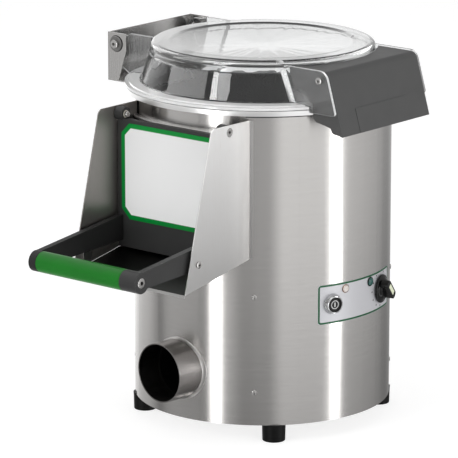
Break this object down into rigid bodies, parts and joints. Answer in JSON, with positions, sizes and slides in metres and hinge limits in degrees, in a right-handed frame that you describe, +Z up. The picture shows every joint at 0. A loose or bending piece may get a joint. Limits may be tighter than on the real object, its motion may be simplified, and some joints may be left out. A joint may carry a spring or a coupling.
{
  "type": "electric potato peeler",
  "caption": "Table-top potato peeler: steel drum on rubber feet, clear hinged lid with a latching handle, chute with a lift-up door and grip, drain stub and side controls.",
  "frame": {"origin": "on the drum's axis, on the surface the feet stand on, at the centre of the square of feet", "axes": "+Z up; -Y is the front with the chute, the door and the drain; +X is the side with the controls and the lid's handle; the lid's hinge is at -X"},
  "size_m": [0.4152, 0.5721, 0.5148],
  "materials": {
    "drum_steel": "brushed",
    "screw_steel": "satin",
    "chrome": "polished",
    "clear_plastic": "clear",
    "dark_plastic": "satin",
    "black_plastic": "satin",
    "green_plastic": "gloss",
    "bush_plastic": "matte",
    "label_film": "satin",
    "control_film": "satin",
    "lamp_clear": "clear",
    "lamp_green": "gloss",
    "rubber": "matte",
    "seal_rubber": "matte",
    "magnet": "matte",
    "grit": "rough",
    "cast_aluminium": "cast",
    "motor_paint": "satin"
  },
  "bodies": {
    "drum": {"outer_shell": "drum_steel", "rim_ring": "drum_steel", "base_plate": "drum_steel", "shell_rivets": "screw_steel", "rubber_feet": "rubber", "foot_nuts": "screw_steel", "hinge_bracket": "drum_steel", "hinge_bolts": "screw_steel", "safety_sensors": "black_plastic", "chute_wall_left": "drum_steel", "chute_wall_right": "drum_steel", "chute_floor": "drum_steel", "chute_screws": "screw_steel", "door_collar": "drum_steel", "door_frame": "drum_steel", "door_seal": "rubber", "door_pivot_screws": "screw_steel", "outlet_pipe": "drum_steel", "drain_elbow": "black_plastic", "chamber_floor": "drum_steel", "abrasive_liner": "grit", "bearing_housing": "cast_aluminium", "shaft_bearings": "screw_steel", "shaft_seal": "rubber", "drive_belt": "rubber", "motor_housing": "motor_paint", "motor_mount": "drum_steel", "control_label": "control_film", "start_bezel": "chrome", "start_spring": "screw_steel", "start_switch": "black_plastic", "mains_lamp": "lamp_clear", "run_lamp": "lamp_green", "timer_body": "black_plastic", "relay_box": "black_plastic", "cable_gland": "black_plastic", "water_inlet": "drum_steel"},
    "lid": {"lid": "clear_plastic", "lid_seal": "seal_rubber", "latch_screws": "screw_steel"},
    "latch": {"latch_handle": "dark_plastic", "latch_springs": "screw_steel", "latch_magnet": "magnet"},
    "door": {"door_panel": "dark_plastic", "door_arm_left": "dark_plastic", "door_arm_right": "dark_plastic", "door_grip": "green_plastic", "grip_rod": "screw_steel", "grip_screws": "screw_steel", "door_label": "label_film", "door_bushes": "bush_plastic", "door_magnet": "magnet"},
    "disc": {"peeling_disc": "cast_aluminium", "disc_nut": "screw_steel", "main_shaft": "screw_steel", "driven_pulley": "cast_aluminium"},
    "motor": {"motor_rotor": "screw_steel", "motor_pulley": "screw_steel"},
    "start_button": {"start_cap": "black_plastic"},
    "timer": {"timer_knob": "black_plastic"}
  },
  "joints": [
    {"name": "lid_hinge", "type": "hinge", "parent": "drum", "child": "lid", "pos_m": [-0.1876, 0, 0.498], "axis": [0, -1, 0], "range_deg": [0, 94]},
    {"name": "latch_pivot", "type": "hinge", "parent": "lid", "child": "latch", "pos_m": [0.176, 0, 0.496], "axis": [0, -1, 0], "range_deg": [0, 8], "stiffness_Nm_per_rad": 0.5, "springref_deg": -11.46},
    {"name": "door_hinge", "type": "hinge", "parent": "drum", "child": "door", "pos_m": [0, -0.187, 0.4314], "axis": [-1, 0, 0], "range_deg": [0, 80]},
    {"name": "disc_spin", "type": "hinge", "parent": "drum", "child": "disc", "pos_m": [0, 0, 0.236], "axis": [0, 0, 1], "continuous": true},
    {"name": "motor_spin", "type": "hinge", "parent": "drum", "child": "motor", "pos_m": [0, 0.098, 0.1], "axis": [0, 0, 1], "continuous": true},
    {"name": "start_press", "type": "slide", "parent": "drum", "child": "start_button", "axis": [-0.9489, 0.3156, 0], "range_m": [0, 0.0035], "stiffness_N_per_m": 400, "springref_m": -0.002},
    {"name": "timer_turn", "type": "hinge", "parent": "drum", "child": "timer", "pos_m": [0.1695, 0.04352, 0.1871], "axis": [0.9686, 0.2487, 0], "range_deg": [0, 300]}
  ],
  "couplings": [
    {"joint": "motor_spin", "follows": "disc_spin", "ratio": 4}
  ]
}
